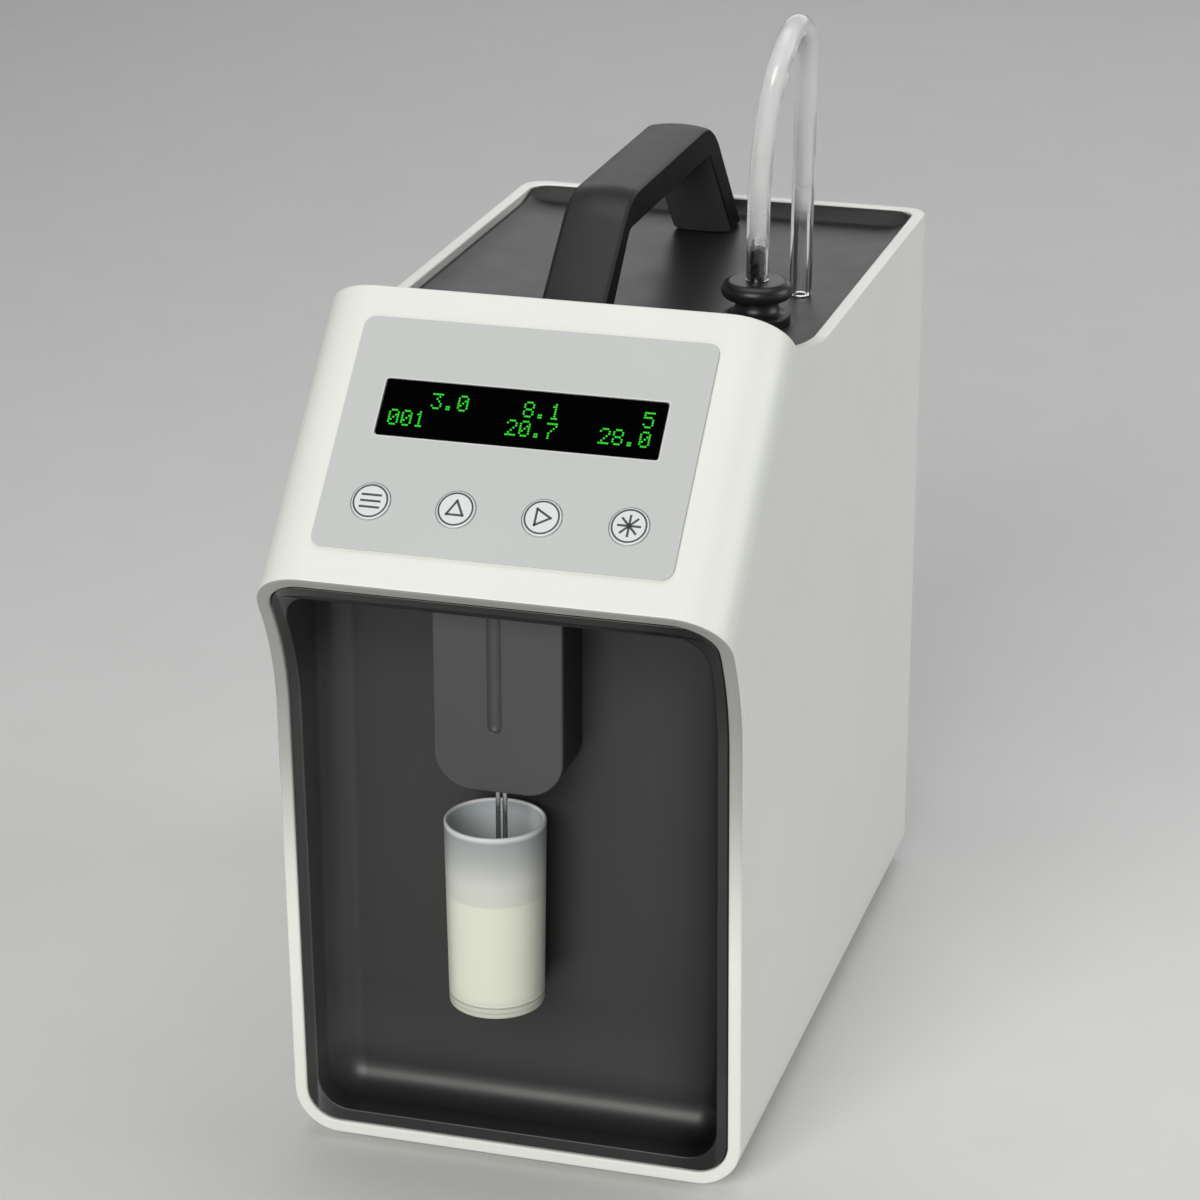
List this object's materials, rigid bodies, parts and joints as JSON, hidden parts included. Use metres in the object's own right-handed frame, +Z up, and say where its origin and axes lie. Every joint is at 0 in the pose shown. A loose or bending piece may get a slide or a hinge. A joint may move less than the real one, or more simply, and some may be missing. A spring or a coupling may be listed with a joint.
{
  "type": "milk analyzer",
  "caption": "Bench-top milk analyzer: cream sleeve housing, sloping key panel, open sampling bay with a cup on a sliding stage, carrying handle and top hose.",
  "frame": {"origin": "middle of the housing's extent in plan, on the plane that the feet stand on", "axes": "+Z up, -Y towards the open front of the sampling bay, +X to the right as seen from the front"},
  "size_m": [0.14, 0.277, 0.3254],
  "materials": {
    "cream_plastic": "satin moulded",
    "black_plastic": "fine texture",
    "top_panel_plastic": "semi-gloss",
    "dark_grey_plastic": "fine texture",
    "membrane_grey": "printed sheet",
    "display_black": "gloss",
    "key_white": "satin",
    "stainless_steel": "drawn",
    "zinc_plated_steel": "zinc plated",
    "frosted_cup": "translucent",
    "milk": "liquid",
    "clear_hose": "translucent",
    "black_rubber": "matte",
    "board_green": "solder mask",
    "grey_painted_sheet": "powder coat",
    "aluminium": "machined"
  },
  "bodies": {
    "base": {"housing_shell": "cream_plastic", "front_recess": "black_plastic", "sampler_cover": "dark_grey_plastic", "intake_pipe": "stainless_steel", "rinse_pipe": "stainless_steel", "top_panel": "top_panel_plastic", "handle": "black_plastic", "handle_screw_front": "zinc_plated_steel", "handle_screw_rear": "zinc_plated_steel", "outlet_fitting": "black_plastic", "fitting_nut": "zinc_plated_steel", "outlet_tube": "clear_hose", "membrane_panel": "membrane_grey", "display_window": "display_black", "display_module": "display_black", "control_board": "board_green", "rear_panel": "grey_painted_sheet", "rear_screw_1": "zinc_plated_steel", "rear_screw_2": "zinc_plated_steel", "rear_screw_3": "zinc_plated_steel", "rear_screw_4": "zinc_plated_steel", "power_inlet": "black_plastic", "data_socket": "stainless_steel", "switch_frame": "black_plastic", "foot_front_left": "black_rubber", "foot_front_right": "black_rubber", "foot_rear_left": "black_rubber", "foot_rear_right": "black_rubber", "chassis_plate": "zinc_plated_steel", "main_board": "board_green", "measuring_cell": "stainless_steel", "front_transducer": "black_plastic", "rear_transducer": "black_plastic", "cell_cradle": "aluminium", "pump_housing": "dark_grey_plastic", "pump_motor": "zinc_plated_steel", "pump_bracket": "zinc_plated_steel", "pump_line": "clear_hose", "sample_hose": "clear_hose", "rinse_hose": "clear_hose", "cell_hose": "clear_hose", "outlet_hose": "clear_hose"},
    "cup_carriage": {"cup_stage": "black_plastic", "stage_runner": "black_plastic", "sample_cup": "frosted_cup", "milk_sample": "milk"},
    "menu_key": {"menu_key": "key_white"},
    "up_key": {"up_key": "key_white"},
    "right_key": {"right_key": "key_white"},
    "start_key": {"start_key": "key_white"},
    "power_rocker": {"power_rocker": "black_rubber"},
    "pump_rotor": {"pump_rotor": "aluminium"},
    "pump_roller_1": {"pump_roller_1": "key_white"},
    "pump_roller_2": {"pump_roller_2": "key_white"},
    "pump_roller_3": {"pump_roller_3": "key_white"}
  },
  "joints": [
    {"name": "cup_stage_slide", "type": "slide", "parent": "base", "child": "cup_carriage", "axis": [0, 0, -1], "range_m": [0, 0.028]},
    {"name": "menu_key_press", "type": "slide", "parent": "base", "child": "menu_key", "axis": [0, 0.7071, -0.7071], "range_m": [0, 0.0005], "stiffness_N_per_m": 2000, "springref_m": -0.0003},
    {"name": "up_key_press", "type": "slide", "parent": "base", "child": "up_key", "axis": [0, 0.7071, -0.7071], "range_m": [0, 0.0005], "stiffness_N_per_m": 2000, "springref_m": -0.0003},
    {"name": "right_key_press", "type": "slide", "parent": "base", "child": "right_key", "axis": [0, 0.7071, -0.7071], "range_m": [0, 0.0005], "stiffness_N_per_m": 2000, "springref_m": -0.0003},
    {"name": "start_key_press", "type": "slide", "parent": "base", "child": "start_key", "axis": [0, 0.7071, -0.7071], "range_m": [0, 0.0005], "stiffness_N_per_m": 2000, "springref_m": -0.0003},
    {"name": "power_rocker_tilt", "type": "hinge", "parent": "base", "child": "power_rocker", "pos_m": [0, 0.13155, 0.077], "axis": [-1, 0, 0], "range_deg": [0, 18]},
    {"name": "pump_rotor_spin", "type": "hinge", "parent": "base", "child": "pump_rotor", "pos_m": [0.03, 0.04545, 0.062], "axis": [0, 1, 0], "continuous": true},
    {"name": "pump_roller_1_spin", "type": "hinge", "parent": "pump_rotor", "child": "pump_roller_1", "pos_m": [0.03, 0.04545, 0.0719], "axis": [0, 1, 0], "continuous": true},
    {"name": "pump_roller_2_spin", "type": "hinge", "parent": "pump_rotor", "child": "pump_roller_2", "pos_m": [0.02143, 0.04545, 0.05705], "axis": [0, 1, 0], "continuous": true},
    {"name": "pump_roller_3_spin", "type": "hinge", "parent": "pump_rotor", "child": "pump_roller_3", "pos_m": [0.03857, 0.04545, 0.05705], "axis": [0, 1, 0], "continuous": true}
  ],
  "couplings": [
    {"joint": "pump_roller_1_spin", "follows": "pump_rotor_spin", "ratio": -3.8286},
    {"joint": "pump_roller_2_spin", "follows": "pump_rotor_spin", "ratio": -3.8286},
    {"joint": "pump_roller_3_spin", "follows": "pump_rotor_spin", "ratio": -3.8286}
  ]
}
